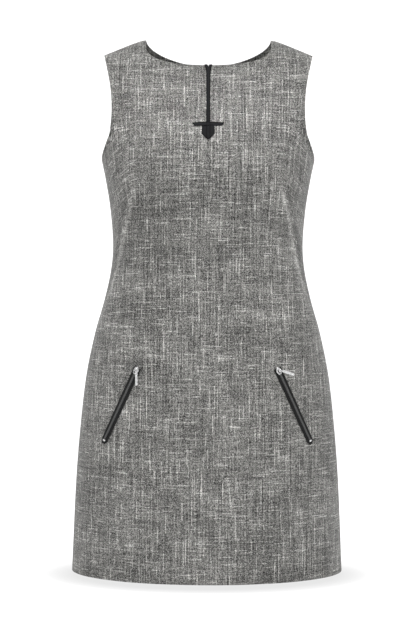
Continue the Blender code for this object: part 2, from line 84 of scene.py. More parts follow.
# %% The tables of the form
CLOTH = 0.0016  # thickness of the tweed
CLOTH_EDGE = 0.00055  # how much its cut edges are rounded
SEAM_GAP = 0.0003  # between two pieces that meet at a seam
LENGTH = 0.880  # neck point to hem
NECK_HALF_WIDTH = 0.1035
NECK_DROP = {-1: 0.0505, +1: 0.0340}  # at the centre of the front and the back
NECK_ROUND = {-1: (2.2, 0.27), +1: (1.8, 0.66)}
SHOULDER_HALF_WIDTH = 0.1735
SHOULDER_SLOPE = 0.415
SHOULDER_EASE = 0.004
SHOULDER_CAP = 0.140  # height over which the cloth rolls over the shoulder
ARMHOLE_DROP = 0.200

# drop, half width, depth of the front, depth of the back, roundness of the section
FORM_ROWS = np.array((
    (0.000, 0.3900, 0.082, 0.082, 2.20),
    (0.040, 0.3150, 0.085, 0.089, 2.20),
    (0.080, 0.2380, 0.093, 0.098, 2.20),
    (0.120, 0.1990, 0.104, 0.105, 2.20),
    (0.160, 0.1850, 0.118, 0.109, 2.28),
    (0.200, 0.1767, 0.131, 0.108, 2.36),
    (0.232, 0.1700, 0.136, 0.106, 2.40),
    (0.280, 0.1622, 0.128, 0.103, 2.34),
    (0.340, 0.1577, 0.114, 0.103, 2.20),
    (0.382, 0.1609, 0.112, 0.109, 2.14),
    (0.432, 0.1717, 0.115, 0.121, 2.08),
    (0.482, 0.1859, 0.120, 0.132, 2.05),
    (0.548, 0.2000, 0.126, 0.140, 2.02),
    (0.615, 0.2085, 0.133, 0.143, 2.00),
    (0.720, 0.2172, 0.142, 0.147, 2.00),
    (0.880, 0.2242, 0.156, 0.154, 2.00),
))
HALF_WIDTH, FRONT_DEPTH, BACK_DEPTH, ROUNDNESS = 1, 2, 3, 4

# the armhole edge, from the shoulder seam to the side seam: drop, half width
ARMHOLE_ROWS = np.array((
    (0.0250, 0.1735),
    (0.0480, 0.1676),
    (0.0820, 0.1604),
    (0.1150, 0.1575),
    (0.1480, 0.1588),
    (0.1820, 0.1651),
    (0.1920, 0.1699),
    (0.2000, 0.1767),
))


def read_table(rows, drop, column):
    """A column's values at many drops, on a cubic curve through the rows."""
    drops, values = rows[:, 0], rows[:, column]
    slopes = np.empty(len(drops))
    slopes[1:-1] = (values[2:] - values[:-2]) / (drops[2:] - drops[:-2])
    slopes[0] = (values[1] - values[0]) / (drops[1] - drops[0])
    slopes[-1] = (values[-1] - values[-2]) / (drops[-1] - drops[-2])
    drop = np.clip(drop, drops[0], drops[-1])
    low = np.clip(np.searchsorted(drops, drop, side="right") - 1, 0, len(drops) - 2)
    span = drops[low + 1] - drops[low]
    t = (drop - drops[low]) / span
    return (
        values[low] * (1 + 2 * t) * (1 - t) ** 2
        + values[low + 1] * (3 - 2 * t) * t**2
        + slopes[low] * span * t * (1 - t) ** 2
        + slopes[low + 1] * span * (t - 1) * t**2
    )


print("half width at the waist:", round(float(read_table(FORM_ROWS, 0.34, HALF_WIDTH)), 4))

# %% [markdown]
# ## Soft folds
#
# The long bust dart lifts a ridge with a hollow beside it, the neck edge pulls a short hollow
# down, and the skirt hangs in shallow waves. Each fold is one line with a height and a half
# width, and fades at both ends. They are placed one by one, uneven as on the real dress, because
# a simulated cloth would lose the clean cut that this stiff tweed keeps. The first three pairs
# are the CAD model's own.

# %% The table of folds
Fold = namedtuple("Fold", "from_x from_drop to_x to_drop height half_width")
FOLD_FADE = 0.18
FRONT_PAIRS = [  # all three tables are in millimetres
    (110, 244, 152, 352, +1.6, 9), (129, 232, 160, 318, -1.8, 10),
    (93, 30, 76, 90, -1.6, 10), (106, 232, 151, 348, +1.2, 5),
]
FRONT_SINGLES = [
    (-93, 30, -75.5, 86, -2.0, 2.6), (92.5, 30, 78, 78, -0.9, 3.2),
    (-56, 330, -118, 372, -0.8, 16), (62, 318, 124, 356, -0.7, 14),
    (-95, 655, -119, 905, +1.1, 26), (-42, 700, -48, 905, -0.9, 22),
    (35, 640, 40, 905, +0.8, 27), (112, 690, 129, 905, +1.0, 24), (78, 730, 86, 905, -0.8, 20),
]
BACK_SINGLES = [
    (-80, 262, -72, 448, -1.2, 12), (79, 270, 73, 440, -1.2, 13),
    (-30, 330, -105, 356, -0.8, 13), (42, 342, 112, 362, -0.7, 15),
    (-118, 95, -90, 190, -0.9, 13), (121, 90, 94, 176, -1.0, 14),
    (-108, 640, -126, 905, +1.1, 27), (-48, 690, -52, 905, -0.9, 23),
    (20, 630, 26, 905, +0.9, 28), (92, 670, 105, 905, +1.1, 25),
]


def make_folds(pairs, singles):
    both = [(sign * a, b, sign * c, *rest) for a, b, c, *rest in pairs for sign in (-1, 1)]
    return [Fold(*(value / 1000 for value in row)) for row in both + singles]


FOLDS = {-1: make_folds(FRONT_PAIRS, FRONT_SINGLES), +1: make_folds([], BACK_SINGLES)}


def fold_height(x, drop, side):
    """The sum of one side's folds at many points."""
    total = np.zeros(np.broadcast(x, drop).shape)
    for fold in FOLDS[side]:
        run_x, run_drop = fold.to_x - fold.from_x, fold.to_drop - fold.from_drop
        length = math.hypot(run_x, run_drop)
        across, down = x - fold.from_x, drop - fold.from_drop
        share = (across * run_x + down * run_drop) / length**2
        off = (across * run_drop - down * run_x) / length
        edge = np.clip(np.minimum(share, 1.0 - share) / FOLD_FADE, 0.0, 1.0)
        faded = edge * edge * (3.0 - 2.0 * edge)
        total += fold.height * faded * np.exp(-((off / fold.half_width) ** 2))
    return total


print("folds:", len(FOLDS[-1]), "on the front,", len(FOLDS[+1]), "on the back")

# %% [markdown]
# ## The outer face of the cloth
#
# `cloth_y` puts the tables and the folds together: it gives how far the cloth stands out at a
# point. Over the last 14 cm below the shoulder seam the cloth rolls inwards like a quarter
# circle, so that front and back meet on top of the shoulder.

# %% The surface of the worn cloth
def shoulder_drop(x):
    """How far the shoulder seam lies below the neck point."""
    out = np.maximum(np.abs(x) - NECK_HALF_WIDTH, 0.0)
    return np.hypot(SHOULDER_SLOPE * out, SHOULDER_EASE) - SHOULDER_EASE


def cloth_y(x, drop, side):
    """The outer face of the cloth on the front (-1) or the back (+1)."""
    half_width = read_table(FORM_ROWS, drop, HALF_WIDTH)
    depth = read_table(FORM_ROWS, drop, FRONT_DEPTH if side < 0 else BACK_DEPTH)
    roundness = read_table(FORM_ROWS, drop, ROUNDNESS)
    share = np.minimum(np.abs(x) / half_width, 1.0)
    section = (1.0 - share**roundness) ** (1.0 / roundness)
    below = np.clip((drop - shoulder_drop(x)) / SHOULDER_CAP, 0.0, 1.0)
    cap = np.sqrt(1.0 - (1.0 - below) ** 2)
    return side * (depth * cap + fold_height(x, drop, side)) * section


SLOPE_STEP = 0.0005


def front_frame(x, drop):
    """Points on the front's outer face and the outward normals there."""
    x, drop = np.atleast_1d(x), np.atleast_1d(drop)
    here = cloth_y(x, drop, -1)
    rise_x = cloth_y(x + SLOPE_STEP, drop, -1) - cloth_y(x - SLOPE_STEP, drop, -1)
    rise_z = cloth_y(x, drop - SLOPE_STEP, -1) - cloth_y(x, drop + SLOPE_STEP, -1)
    normal = np.stack((rise_x, np.full_like(here, -2 * SLOPE_STEP), rise_z), axis=1)
    normal /= np.linalg.norm(normal, axis=1)[:, None]
    return np.stack((x, here, -drop), axis=1), normal


print("the front stands out", round(-float(cloth_y(0.0, 0.232, -1)), 4), "m at the bust")

# %% [markdown]
# ## Laying out a panel
#
# Half of a panel is two grids: level rows from the hem up to the armhole, and above it a fan of
# rows from the neck edge out to the armhole, where level rows would be cut off at a slant. Over
# the shoulder the rows are laid out in a flattened plane, so that they stay evenly spaced along
# the cloth as it rolls over.

# %% Half a panel as rows and columns
ACROSS = 64  # columns, from the centre to the side seam
ROUND_ARMHOLE = 42  # more columns of the fan, up the armhole
LINE_STEPS = 600  # points on a line before it is cut into even steps
FAN_ROWS = 52
BUST_ROWS, SKIRT_ROWS = 42, 112
WAIST_DROP = 0.370
CAP_FLAT = 0.090  # size of the rolled shoulder in the flattened plane


def to_flat(x, drop):
    """Distance from the shoulder seam in the flattened plane."""
    below = (drop - shoulder_drop(x)) / SHOULDER_CAP
    turn = np.arccos(1.0 - np.clip(below, 0.0, 1.0))
    return CAP_FLAT * (turn + np.maximum(below - 1.0, 0.0))


def from_flat(x, height):
    turn = np.minimum(height / CAP_FLAT, math.pi / 2)
    beyond = np.maximum(height / CAP_FLAT - math.pi / 2, 0.0)
    return shoulder_drop(x) + SHOULDER_CAP * (1.0 - np.cos(turn) + beyond)


def even(points, shares):
    """Points at shares of a line's length, for shares from 0 to 1."""
    steps = np.linalg.norm(np.diff(points, axis=0), axis=1)
    length = np.concatenate(([0.0], np.cumsum(steps)))
    return np.stack([np.interp(shares * length[-1], length, line) for line in points.T], axis=1)


def neck_line(side, shares):
    """The neck edge in the flattened plane, from the centre to the neck point."""
    part = np.sin(np.linspace(0.0, math.pi / 2, 900))
    depth, (power, root) = NECK_DROP[side], NECK_ROUND[side]
    drop = depth * np.maximum(1.0 - part**power, 0.0) ** root
    x = NECK_HALF_WIDTH * part
    return even(np.stack((x, to_flat(x, drop)), axis=1), shares)


def outer_line(columns):
    """Level from the centre to the side at the armhole's foot, then up the armhole."""
    level = np.minimum(columns / ACROSS, 1.0)
    x = read_table(FORM_ROWS, ARMHOLE_DROP, HALF_WIDTH) * np.sin(level * math.pi / 2)
    flat = np.stack((x, to_flat(x, ARMHOLE_DROP)), axis=1)
    drop = np.linspace(ARMHOLE_DROP, shoulder_drop(SHOULDER_HALF_WIDTH), LINE_STEPS)
    edge = read_table(ARMHOLE_ROWS, drop, HALF_WIDTH)
    height = to_flat(edge, drop)
    height -= height[-1] * np.linspace(0.0, 1.0, LINE_STEPS) ** 4  # to end on the seam
    climb = np.maximum(columns - ACROSS, 0.0) / ROUND_ARMHOLE
    up = even(np.stack((edge, height), axis=1), climb)
    return np.where((columns <= ACROSS)[:, None], flat, up)


def fan_point(side, columns, rows):
    neck = neck_line(side, columns / (ACROSS + ROUND_ARMHOLE))
    outer = outer_line(columns)
    share = (rows / FAN_ROWS)[:, None]
    flat = neck * (1.0 - share) + outer * share
    return flat[:, 0], from_flat(flat[:, 0], flat[:, 1])


def level_point(columns, rows):
    skirt = rows / SKIRT_ROWS
    bust = (rows - SKIRT_ROWS) / BUST_ROWS
    drop = np.where(
        rows <= SKIRT_ROWS,
        LENGTH + (WAIST_DROP - LENGTH) * skirt,
        WAIST_DROP + (ARMHOLE_DROP - WAIST_DROP) * bust,
    )
    half_width = read_table(FORM_ROWS, drop, HALF_WIDTH)
    return half_width * np.sin(columns / ACROSS * math.pi / 2), drop


LEVEL_ROWS = BUST_ROWS + SKIRT_ROWS
print("cells in half a panel:", (ACROSS + ROUND_ARMHOLE) * FAN_ROWS + ACROSS * LEVEL_ROWS)

# %% [markdown]
# ## The slit
#
# The front is slit open from the neck edge. It is nearly closed and flares at the top. The
# columns next to the centre are pushed aside by half the gap, and the push dies out 20 mm away.

# %% Open the slit
SLIT_LENGTH = 0.0955
SLIT_HALF_GAP = 0.0005
SLIT_FLARE = 0.0020
SLIT_FLARE_LENGTH = 0.0030
SLIT_FLARE_CURVE = 1.5
SLIT_PUSH = 0.020


def slit_half_gap(below_edge):
    spread = np.clip(1.0 - below_edge / SLIT_FLARE_LENGTH, 0.0, 1.0)
    gap = SLIT_HALF_GAP + SLIT_FLARE * spread**SLIT_FLARE_CURVE
    return np.where(below_edge > SLIT_LENGTH, 0.0, gap)


def pushed_aside(x, drop):
    gap = slit_half_gap(drop - NECK_DROP[-1])
    return x + gap * np.clip(1.0 - x / SLIT_PUSH, 0.0, 1.0)


print("the slit is", round(2000 * float(slit_half_gap(0.0)), 1), "mm wide at the neck edge")

# %% [markdown]
# ## Which way the threads run
#
# Each panel carries a UV map, "grain", in metres: U runs out from the centre, V down from the
# armhole. Both are lengths along the surface, so no thread is stretched.
#
# A bust dart folds cloth away along a line from the side seam to the bust. Beyond the line the
# weft falls outwards and the warp leans. A second UV map holds that slanted cloth; above the
# tip it bends in softly. A number on each point tells how far it lies past the dart line, so
# the material changes over on the seam.

# %% Measure the thread lengths and the dart
DART_TIP = (0.1167, 0.243)  # half width and drop
DART_LEAN = math.radians(160)  # the dart line, turned outwards from straight up
DART_STRAIGHT = 0.12  # below the tip, where the line starts to curl to the side seam
DART_CURL = 1.6
WEFT_TURN = math.radians(28)  # how far the weft falls outwards beside the dart
WARP_TURN = math.radians(15)
TURN_EASE = 0.016  # width over which the weft bends, above the tip
TURN_TOP, TURN_FULL = -0.055, -0.015  # above the armhole's foot, the weft is level again
STEPS = 48  # steps along each measured thread
BACK_GRAIN = 2.3  # the back is cut from another stretch of the cloth


def path_length(x, drop, side):
    y = cloth_y(x, drop, side)
    steps = np.diff(x, axis=1) ** 2 + np.diff(y, axis=1) ** 2 + np.diff(drop, axis=1) ** 2
    return np.sqrt(steps).sum(axis=1)


def thread_lengths(x, drop, side):
    """Lengths out from the centre and down from the armhole's level, along the cloth."""
    t = np.linspace(0.0, 1.0, STEPS + 1)[None, :]
    half_width = read_table(FORM_ROWS, drop, HALF_WIDTH)
    reach = np.arcsin(np.minimum(x / half_width, 1.0))
    across = half_width[:, None] * np.sin(reach[:, None] * t)
    out = path_length(across, drop[:, None] + 0.0 * t, side)

    start, end = to_flat(x, ARMHOLE_DROP)[:, None], to_flat(x, drop)[:, None]
    high = np.repeat(x[:, None], STEPS + 1, axis=1)
    up = path_length(high, from_flat(high, start + (end - start) * t), side)
    level = ARMHOLE_DROP + (drop[:, None] - ARMHOLE_DROP) * t
    low = read_table(FORM_ROWS, level, HALF_WIDTH) * np.sin(reach)[:, None]
    down = path_length(low, level, side)
    return out, np.where(drop < ARMHOLE_DROP, -up, down)


def turned_by_dart(out, down):
    """The threads beyond the dart, the distance past its line, and the distance along it."""
    tip_out, tip_down = thread_lengths(np.array([DART_TIP[0]]), np.array([DART_TIP[1]]), -1)
    away, below = out - tip_out, down - tip_down
    bend = np.clip(away / TURN_EASE, 0.0, 1.0)
    fall = math.tan(WEFT_TURN) * (TURN_EASE * bend**2 / 2 + np.maximum(away - TURN_EASE, 0.0))
    share = np.clip((down - TURN_TOP) / (TURN_FULL - TURN_TOP), 0.0, 1.0)
    turned_down = down - fall * share * share * (3.0 - 2.0 * share)
    turned_out = out + math.tan(WARP_TURN) * np.maximum(below, 0.0)
    past = away * -math.cos(DART_LEAN) - below * math.sin(DART_LEAN)
    past -= DART_CURL * np.maximum(below - DART_STRAIGHT, 0.0) ** 2
    along = away * math.sin(DART_LEAN) - below * math.cos(DART_LEAN)
    return turned_out, turned_down, past, along


# %% [markdown]
# ## Sewing up the panels
#
# The two grids are welded, mirrored, and laid on the form. Solidify then gives the cloth its
# thickness inwards, so the outer face stays where the CAD has it, and Bevel rounds every cut
# edge. Where front and back meet at a seam, the rounded edges draw the groove of a pressed-open
# seam.

# %% Helpers for meshes
def turn_faces(bm, outward):
    """Turns an open sheet over if its faces look the wrong way."""
    bmesh.ops.recalc_face_normals(bm, faces=bm.faces)
    bm.normal_update()
    looking = sum((face.normal * face.calc_area() for face in bm.faces), Vector())
    if looking.dot(outward) < 0:
        bmesh.ops.reverse_faces(bm, faces=bm.faces)


def add_grid(bm, columns, rows, place):
    """A grid of cells whose corners go where place(columns, rows) says."""
    made = bmesh.ops.create_grid(bm, x_segments=columns, y_segments=rows, size=0.5)["verts"]
    flat = np.array([vert.co[:2] for vert in made]) + 0.5
    points = place(np.round(flat[:, 0] * columns), np.round(flat[:, 1] * rows))
    for vert, point in zip(made, points):
        vert.co = point


def piece(name, bm, finishes, smooth=True):
    """Turns a bmesh into an object with its materials."""
    mesh = bpy.data.meshes.new(name)
    bm.to_mesh(mesh)
    bm.free()
    for finish in finishes:
        mesh.materials.append(finish)
    if smooth:
        mesh.shade_smooth()
    obj = bpy.data.objects.new(name, mesh)
    bpy.context.scene.collection.objects.link(obj)
    return obj


def give_wall(obj, thickness, offset, round_edge, segments=2):
    wall = obj.modifiers.new("wall", "SOLIDIFY")
    wall.thickness = thickness
    wall.offset = offset
    rounding = obj.modifiers.new("rounded edges", "BEVEL")
    rounding.width = round_edge
    rounding.segments = segments
    rounding.limit_method = "ANGLE"
    rounding.angle_limit = math.radians(50)
    rounding.use_clamp_overlap = False


def round_edges(bm, edges, size, segments):
    bmesh.ops.bevel(
        bm, geom=edges, offset=size, segments=segments, profile=0.5, affect="EDGES", material=-1
    )


def set_uv(mesh, name, u, v):
    layer = mesh.uv_layers.new(name=name)
    corner = np.empty(len(mesh.loops), dtype=np.int32)
    mesh.loops.foreach_get("vertex_index", corner)
    layer.data.foreach_set("uv", np.stack((u[corner], v[corner]), axis=1).ravel())


def set_number(mesh, name, values):
    mesh.attributes.new(name, "FLOAT", "POINT").data.foreach_set("value", values)


# %% Make a panel
def make_panel(name, side, finish):
    def on_form(x, drop):
        if side < 0:
            x = pushed_aside(x, drop)
        y = side * np.maximum(side * cloth_y(x, drop, side), SEAM_GAP / 2)
        return np.stack((x, y, -drop), axis=1)

    bm = bmesh.new()
    fan = ACROSS + ROUND_ARMHOLE
    add_grid(bm, fan, FAN_ROWS, lambda c, r: on_form(*fan_point(side, c, r)))
    add_grid(bm, ACROSS, LEVEL_ROWS, lambda c, r: on_form(*level_point(c, r)))
    bmesh.ops.remove_doubles(bm, verts=bm.verts, dist=1e-5)
    whole = bm.verts[:] + bm.edges[:] + bm.faces[:]
    bmesh.ops.mirror(bm, geom=whole, axis="X", merge_dist=1e-4)
    turn_faces(bm, Vector((0.0, side, 0.0)))
    obj = piece(name, bm, [finish])

    mesh = obj.data  # laid on the form once more, for the folds of the other half
    points = np.empty(3 * len(mesh.vertices))
    mesh.vertices.foreach_get("co", points)
    x, _, z = points.reshape(-1, 3).T
    drop = -z
    y = side * np.maximum(side * cloth_y(x, drop, side), SEAM_GAP / 2)
    mesh.vertices.foreach_set("co", np.stack((x, y, z), axis=1).ravel())

    sign = np.where(x < 0, -1.0, 1.0)
    out, down = thread_lengths(np.abs(x), drop, side)
    if side > 0:  # the back shows another stretch of the weave
        down += BACK_GRAIN
    turned_out, turned_down, past, along = turned_by_dart(out, down)
    if side > 0:  # and it has no dart
        past[:] = -1.0
    set_uv(mesh, "grain", sign * out, down)
    set_uv(mesh, "grain_past_dart", sign * turned_out, turned_down)
    set_number(mesh, "past_dart", past)
    set_number(mesh, "along_dart", along)
    mesh.uv_layers["grain"].active = True
    mesh.uv_layers["grain"].active_render = True
    give_wall(obj, CLOTH, -1.0, CLOTH_EDGE)
    print(name, "half girth at the hem:", round(2 * float(out[drop > LENGTH - 1e-4].max()), 3))
    return obj


# %% [markdown]
# ## Materials: a few helpers
#
# Every finish below is a small graph of shader nodes. `node` adds one, sets it, and links its
# inputs or gives them a value, so that a graph reads like a recipe.

# %% Helpers for shader nodes
def new_finish(name):
    finish = bpy.data.materials.new(name)
    finish.use_nodes = True
    return finish, finish.node_tree, finish.node_tree.nodes["Principled BSDF"]


def fill(made, inputs):
    for key, value in inputs.items():
        if isinstance(value, bpy.types.NodeSocket):
            made.id_data.links.new(value, made.inputs[key])
        else:
            made.inputs[key].default_value = value


def source(tree, kind, out=0, inputs=None, **settings):
    """The output of a new node in a tree."""
    made = tree.nodes.new(kind)
    for name, value in settings.items():
        setattr(made, name, value)
    fill(made, inputs or {})
    return made.outputs[out]


def node(kind, inputs, out=0, **settings):
    """The output of a new node, in the tree that its linked inputs come from."""
    linked = (value for value in inputs.values() if isinstance(value, bpy.types.NodeSocket))
    return source(next(linked).id_data, kind, out, inputs, **settings)


def number(tree, name):
    """A number that set_number wrote on the mesh."""
    return source(tree, "ShaderNodeAttribute", "Fac", attribute_name=name)


def sums(operation, *values):
    """One Math node on numbers or sockets."""
    return node("ShaderNodeMath", dict(enumerate(values)), operation=operation)


def add(total, part, weight, middle=0.0):
    """total + weight * (part - middle)"""
    return sums("MULTIPLY_ADD", sums("SUBTRACT", part, middle), weight, total)


def ramp(value, low, high, out_low=0.0, out_high=1.0):
    inputs = dict(enumerate((value, low, high, out_low, out_high)))
    return node("ShaderNodeMapRange", inputs, interpolation_type="SMOOTHSTEP")


def split(vector):
    return node("ShaderNodeSeparateXYZ", {0: vector}, slice(0, 2))


def noise(place, scale, detail=2.0):
    return node("ShaderNodeTexNoise", {"Vector": place, "Scale": scale, "Detail": detail})


def thread_noise(grain, per_u, per_v, detail=1.0, shift=0.0):
    """Noise with so many changes a metre along U and along V."""
    scaling = {0: grain, 1: (per_u, per_v, 1.0), 2: (shift, 1.7 * shift, 0.0)}
    scaled = node("ShaderNodeVectorMath", scaling, operation="MULTIPLY_ADD")
    inputs = {"Vector": scaled, "Scale": 1.0, "Detail": detail, "Roughness": 0.6}
    return node("ShaderNodeTexNoise", inputs, noise_dimensions="2D")


def tinted(tone, red=1.0, blue=1.0):
    """A grey with a little more or less red and blue."""
    parts = (sums("MULTIPLY", tone, red), tone, sums("MULTIPLY", tone, blue))
    return node("ShaderNodeCombineColor", dict(enumerate(parts)))


def bump(height, strength, distance):
    inputs = {"Strength": strength, "Distance": distance, "Height": height}
    return node("ShaderNodeBump", inputs)


# %% [markdown]
# ## The tweed
#
# This cloth is a plain weave of uneven grey yarns, and the finish is woven too: U and V divided
# by the pitch number every warp and weft thread, and each thread gets a tone of its own that
# changes slowly along it. Where two threads cross, one lies on top, in turn, and its tone
# shows. Some threads swell into thin light slubs, dark flecks and a fine speckle lie over all,
# and cloudy stretches are a little darker. All is added up as steps of brightness, as the eye
# sees them, and a power of 2.2 turns the sum into the light that the cloth gives back.

# %% The numbers of the tweed
THREAD = 0.0011  # pitch of the weave
FIBRE = 0.0008  # size of a speckle
SWAY = 0.0015  # how far the threads stray
STRIPE_PITCH, STRIPE_WIDTH = 0.005, 0.0016  # every fifth warp thread is lighter
CLOTH_TONE = 0.379  # brightness of the plain yarn
DARKEST = 0.12
WARM = {"red": 1.012, "blue": 0.955}

# how often a yarn's tone and its slubs change along a metre, how strong both are, and two seeds
Yarn = namedtuple("Yarn", "tone_rate slub_rate tone slub seed slub_seed")
WEFT = Yarn(12, 18, 0.50, 0.34, 3.5, 40.5)
WARP = Yarn(8, 12, 0.68, 0.38, 7.5, 80.5)
SLUB_FROM, SLUB_FULL = 0.67, 0.72
STRIPE, SPECKLE, FLECKS, CLOUDS = 0.07, 0.50, -0.08, 0.20  # steps of brightness

# lines beside the dart: distance past it, half width, step of brightness
# the groove's darker step is painted shade in the dart seam; its line also shapes the bump
DART_GROOVE_AND_PAINTED_SHADE = (0.0, 0.0012, -0.07)
# a painted highlight on the ridge inside the dart line, and painted shade in the hollow beyond it
DART_PAINTED_LIGHT_AND_SHADE = ((-0.0030, 0.0095, 0.13), (0.0120, 0.0120, -0.07))
DART_SHOWS = (0.0, 0.02, 0.15, 0.26)  # along it: starts, full, fades, ends


# %% Tweed
def yarn_noise(thread, length, per_metre, seed):
    """A tone that changes slowly along each thread, and has no likeness to its neighbours'."""
    seeded = {"W": sums("ADD", thread, seed)}
    own = node("ShaderNodeTexWhiteNoise", seeded, noise_dimensions="1D")
    start = sums("MULTIPLY", own, 900.0)
    place = sums("MULTIPLY_ADD", length, per_metre, start)
    inputs = {"W": place, "Scale": 1.0, "Detail": 1.0}
    return node("ShaderNodeTexNoise", inputs, noise_dimensions="1D")


def yarn_tone(thread, length, yarn):
    own = yarn_noise(thread, length, yarn.tone_rate, yarn.seed)
    swell = yarn_noise(thread, length, yarn.slub_rate, yarn.slub_seed)
    tone = add(0.0, own, yarn.tone, 0.5)
    return add(tone, ramp(swell, SLUB_FROM, SLUB_FULL), yarn.slub)


def woven(across, down):
    """The threads' brightness, and the places on them counted in threads."""
    places = [sums("DIVIDE", length, THREAD) for length in (across, down)]
    warp_no, weft_no = (sums("FLOOR", place) for place in places)
    warp_on_top = sums("FLOORED_MODULO", sums("ADD", warp_no, weft_no), 2.0)
    weft = yarn_tone(weft_no, across, WEFT)
    warp = yarn_tone(warp_no, down, WARP)
    stripe = sums("FLOORED_MODULO", across, STRIPE_PITCH)
    warp = add(warp, sums("LESS_THAN", stripe, STRIPE_WIDTH), STRIPE)
    shown = sums("MULTIPLY_ADD", warp_on_top, 0.3, 0.35)  # the lower one shines through
    return node("ShaderNodeMix", {0: shown, 2: weft, 3: warp}), places


def make_tweed():
    finish, tree, shader = new_finish("tweed")
    past, along = number(tree, "past_dart"), number(tree, "along_dart")
    grain = node("ShaderNodeMix", {
        0: sums("GREATER_THAN", past, 0.0),
        4: source(tree, "ShaderNodeUVMap", uv_map="grain"),
        5: source(tree, "ShaderNodeUVMap", uv_map="grain_past_dart"),
    }, 1, data_type="VECTOR")
    sway = thread_noise(grain, 10, 10, shift=9.0)
    across, down = split(grain)
    across, down = add(across, sway, SWAY, 0.5), add(down, sway, -SWAY, 0.5)

    threads, places = woven(across, down)
    fibres = [sums("FLOOR", sums("DIVIDE", v, FIBRE)) for v in (across, down)]
    crossing = {"Vector": node("ShaderNodeCombineXYZ", dict(enumerate(fibres)))}
    speckle = node("ShaderNodeTexWhiteNoise", crossing, noise_dimensions="2D")
    threads = add(threads, speckle, SPECKLE, 0.5)
    flecks = thread_noise(grain, 420, 620, shift=2.2)
    threads = add(threads, ramp(flecks, 0.30, 0.38, 1.0, 0.0), FLECKS)
    clouds = thread_noise(grain, 9, 24, detail=2.0, shift=4.4)
    bright = add(sums("ADD", threads, CLOTH_TONE), clouds, CLOUDS, 0.5)

    begins, full, fades, ends = DART_SHOWS
    started = ramp(along, begins, full)
    shown = sums("MULTIPLY", started, ramp(along, fades, ends, 1.0, 0.0))

    def line(middle, half_width):
        """1 on a line beside the dart, fading to 0 at half_width."""
        off = sums("ABSOLUTE", sums("SUBTRACT", past, middle))
        return sums("MULTIPLY", ramp(off, 0.0, half_width, 1.0, 0.0), shown)

    # painted shade and highlight beside the dart: the groove darkens the colour, the first band
    # lightens the ridge, the second darkens the hollow
    groove = line(*DART_GROOVE_AND_PAINTED_SHADE[:2])
    bright = add(bright, groove, DART_GROOVE_AND_PAINTED_SHADE[2])
    for middle, half_width, step in DART_PAINTED_LIGHT_AND_SHADE:
        bright = add(bright, line(middle, half_width), step)
    light = sums("POWER", sums("MAXIMUM", bright, DARKEST), 2.2)

    over, under = (sums("PINGPONG", place, 0.5) for place in places)
    height = sums("MULTIPLY_ADD", sums("MULTIPLY", over, under), 1.6, threads)
    height = add(height, groove, -1.2)
    fill(shader, {
        "Base Color": tinted(light, **WARM), "Normal": bump(height, 0.5, 0.0006),
        "Roughness": 0.95, "Specular IOR Level": 0.2,
        "Sheen Weight": 0.2, "Sheen Roughness": 0.45,
    })
    return finish


tweed = make_tweed()
print("tweed nodes:", len(tweed.node_tree.nodes))

# %% Cut and hang the two panels
front = make_panel("front_panel_cloth", -1, tweed)
back = make_panel("back_panel_cloth", +1, tweed)
for cloth, cad in ((front, "front_panel"), (back, "back_panel")):
    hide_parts(cad)
    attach(cloth, "dress")

# %% [markdown]
# ## Faux-leather trim
#
# Two narrow bindings edge the slit, a crossbar is sewn over its end, and a pointed tab hangs
# below the bar. Each strip's outline is a small function in the plane of the front, and every
# point is then put on the cloth and lifted along the normal. Soft rolled edges and a slight
# crown catch the light, and a fine ridge runs down the middle of the bar and the tab. The
# leather is darker along each strip's rim and in a line at each side of the ridge: painted shade.

# %% Faux leather
def make_leather():
    finish, tree, shader = new_finish("black_faux_leather")
    place = source(tree, "ShaderNodeTexCoord", "Object")
    cells = {"Vector": place, "Scale": 1900.0}
    grain = node("ShaderNodeTexVoronoi", cells, "Distance", feature="DISTANCE_TO_EDGE")
    wear = noise(place, 260.0, 3.0)
    # painted shade: the leather is darker at each strip's rim and beside the ridge, where this
    # mask is low
    inner = ramp(number(tree, "inside"), 0.35, 0.75)
    tone = sums("MULTIPLY_ADD", inner, 0.006, ramp(wear, 0.35, 0.75, 0.002, 0.004))
    fill(shader, {
        "Base Color": tinted(tone, red=0.96, blue=1.12),
        "Roughness": ramp(wear, 0.3, 0.7, 0.42, 0.58),
        "Normal": bump(grain, 0.35, 0.0002), "Specular IOR Level": 0.06,
    })
    return finish


leather = make_leather()
print("faux leather nodes:", len(leather.node_tree.nodes))

# %% Trim sizes and the way it is laid on
BINDING_WIDTH = 0.0027
BINDING_GAP = 0.00015
BINDING_FLARE = 0.0036  # extra width at the neck edge
BINDING_FLARE_LENGTH = 0.016
BINDING_FLARE_CURVE = 1.3
BINDING_CROWD = 1.3  # crowds the rows towards the neck edge
TRIM_THICKNESS = 0.0011
TRIM_EDGE = 0.00032
TRIM_LIFT = 0.0005
CROSSBAR_DROP = 0.1489
CROSSBAR_HALF_LENGTH = 0.0255
CROSSBAR_HEIGHT = 0.0066
CROSSBAR_CUT = 0.0042
CROSSBAR_ARCH = 0.0014
TAB_HALF_WIDTH = 0.0102
TAB_LENGTH = 0.0220
TAB_STRAIGHT = 0.58
TAB_CURVE = 1.15
TAB_POINT = 0.0009  # half width of the tab's tip, and what is left of the bar at its cut ends
CROWN = 0.0003  # how much a strip's middle stands out
# painted shade: a strip's rim is coloured darker over this width
EDGE_SHADE = 0.0016  # width of the darker rim of a strip
RIDGE_HEIGHT, RIDGE_WIDTH = 0.0004, 0.0013  # the ridge that the closed slit leaves
# painted shade: a darker line is coloured in at each side of the ridge
SHADE_BESIDE_RIDGE, SHADE_BESIDE_WIDTH = 0.0027, 0.0008  # the darker line at each side of it
OUTLINE_STEPS = 200


